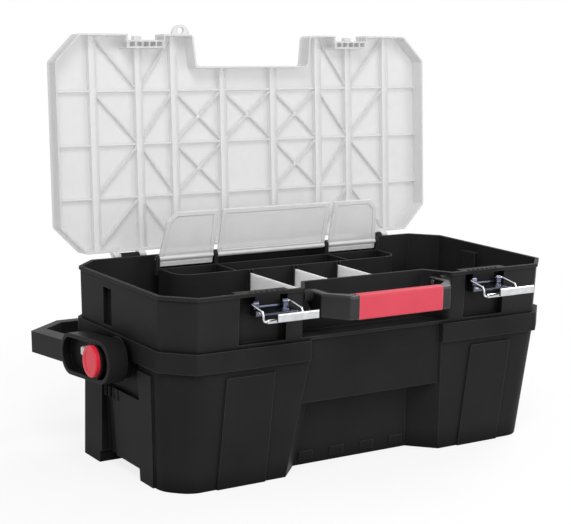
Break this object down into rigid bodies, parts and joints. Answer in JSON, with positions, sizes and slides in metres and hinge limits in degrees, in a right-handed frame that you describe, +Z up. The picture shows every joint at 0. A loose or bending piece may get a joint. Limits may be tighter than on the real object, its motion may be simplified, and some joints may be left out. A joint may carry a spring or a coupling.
{
  "type": "plastic tool box",
  "caption": "Two-stage plastic tool box: deep bin, lift-out organiser with clear ribbed lid, flap-covered bins, draw latches and folding carry bail.",
  "frame": {"origin": "on the floor under the middle of the box's footprint", "axes": "+X to the box's right seen from the front, +Y to the rear, +Z up"},
  "size_m": [0.692, 0.4712, 0.563],
  "materials": {
    "black_plastic": "fine moulded grain",
    "clear_lid": "frosted translucent",
    "clear_flap": "frosted translucent",
    "pale_divider": "satin",
    "red_grip": "soft matt",
    "red_button": "satin",
    "chrome_wire": "bright plated",
    "zinc_steel": "zinc plated"
  },
  "bodies": {
    "lower_bin": {"lower_bin": "black_plastic", "pivot_hub_left": "black_plastic", "pivot_hub_right": "black_plastic", "hub_washers": "zinc_steel", "hub_screws": "zinc_steel"},
    "upper_case": {"upper_case": "black_plastic", "rear_bin": "black_plastic", "flap_hinge_rod": "zinc_steel", "lid_hinge_pins": "zinc_steel", "front_handle_pins": "zinc_steel", "latch_bracket_left": "chrome_wire", "latch_bracket_right": "chrome_wire", "latch_rivets": "zinc_steel"},
    "lid": {"lid": "clear_lid"},
    "flap_left": {"flap_left": "clear_flap"},
    "flap_middle": {"flap_middle": "clear_flap"},
    "flap_right": {"flap_right": "clear_flap"},
    "divider_left": {"divider_left": "pale_divider"},
    "divider_middle": {"divider_middle": "pale_divider"},
    "divider_right": {"divider_right": "pale_divider"},
    "front_handle": {"front_handle": "black_plastic", "front_handle_grip": "red_grip"},
    "latch_link_left": {"latch_link_left": "chrome_wire"},
    "latch_link_right": {"latch_link_right": "chrome_wire"},
    "latch_lever_left": {"latch_lever_left": "chrome_wire"},
    "latch_lever_right": {"latch_lever_right": "chrome_wire"},
    "carry_handle": {"carry_handle": "black_plastic", "button_spring_left": "zinc_steel", "button_spring_right": "zinc_steel"},
    "lock_button_left": {"lock_button_left": "red_button"},
    "lock_button_right": {"lock_button_right": "red_button"}
  },
  "joints": [
    {"name": "case_lift", "type": "slide", "parent": "lower_bin", "child": "upper_case", "axis": [0, 0, 1], "range_m": [0, 0.06]},
    {"name": "lid_hinge", "type": "hinge", "parent": "upper_case", "child": "lid", "pos_m": [0, 0.154, 0.249], "axis": [1, 0, 0], "range_deg": [0, 94.3]},
    {"name": "flap_left_hinge", "type": "hinge", "parent": "upper_case", "child": "flap_left", "pos_m": [0, 0.11603, 0.249], "axis": [1, 0, 0], "range_deg": [0, 88]},
    {"name": "flap_middle_hinge", "type": "hinge", "parent": "upper_case", "child": "flap_middle", "pos_m": [0, 0.11603, 0.249], "axis": [1, 0, 0], "range_deg": [0, 88]},
    {"name": "flap_right_hinge", "type": "hinge", "parent": "upper_case", "child": "flap_right", "pos_m": [0, 0.11603, 0.249], "axis": [1, 0, 0], "range_deg": [0, 88]},
    {"name": "bail_swing", "type": "hinge", "parent": "lower_bin", "child": "carry_handle", "pos_m": [0, -0.008, 0.152], "axis": [1, 0, 0], "range_deg": [0, 84.9]},
    {"name": "divider_left_lift", "type": "slide", "parent": "upper_case", "child": "divider_left", "axis": [0, 0, -1], "range_m": [-0.08, 0]},
    {"name": "divider_middle_lift", "type": "slide", "parent": "upper_case", "child": "divider_middle", "axis": [0, 0, -1], "range_m": [-0.08, 0]},
    {"name": "divider_right_lift", "type": "slide", "parent": "upper_case", "child": "divider_right", "axis": [0, 0, -1], "range_m": [-0.08, 0]},
    {"name": "handle_fold", "type": "hinge", "parent": "upper_case", "child": "front_handle", "pos_m": [0, -0.136, 0.238], "axis": [1, 0, 0], "range_deg": [0, 50]},
    {"name": "link_left_swing", "type": "hinge", "parent": "upper_case", "child": "latch_link_left", "pos_m": [-0.17202, -0.1505, 0.238], "axis": [1, 0, 0], "range_deg": [-80, 0]},
    {"name": "lever_left_swing", "type": "hinge", "parent": "latch_link_left", "child": "latch_lever_left", "pos_m": [-0.17202, -0.1815, 0.222], "axis": [1, 0, 0], "range_deg": [-60, 110]},
    {"name": "button_left_press", "type": "slide", "parent": "carry_handle", "child": "lock_button_left", "axis": [1, 0, 0], "range_m": [0, 0.004], "stiffness_N_per_m": 600, "springref_m": -0.002, "deforming": ["button_spring_left"]},
    {"name": "link_right_swing", "type": "hinge", "parent": "upper_case", "child": "latch_link_right", "pos_m": [0.17202, -0.1505, 0.238], "axis": [1, 0, 0], "range_deg": [-80, 0]},
    {"name": "lever_right_swing", "type": "hinge", "parent": "latch_link_right", "child": "latch_lever_right", "pos_m": [0.17202, -0.1815, 0.222], "axis": [1, 0, 0], "range_deg": [-60, 110]},
    {"name": "button_right_press", "type": "slide", "parent": "carry_handle", "child": "lock_button_right", "axis": [-1, 0, 0], "range_m": [0, 0.004], "stiffness_N_per_m": 600, "springref_m": -0.002, "deforming": ["button_spring_right"]}
  ],
  "couplings": [
    {"joint": "flap_left_hinge", "follows": "lid_hinge", "ratio": 0.933},
    {"joint": "flap_middle_hinge", "follows": "lid_hinge", "ratio": 0.933},
    {"joint": "flap_right_hinge", "follows": "lid_hinge", "ratio": 0.933},
    {"joint": "bail_swing", "follows": "lid_hinge", "ratio": 0.9}
  ]
}
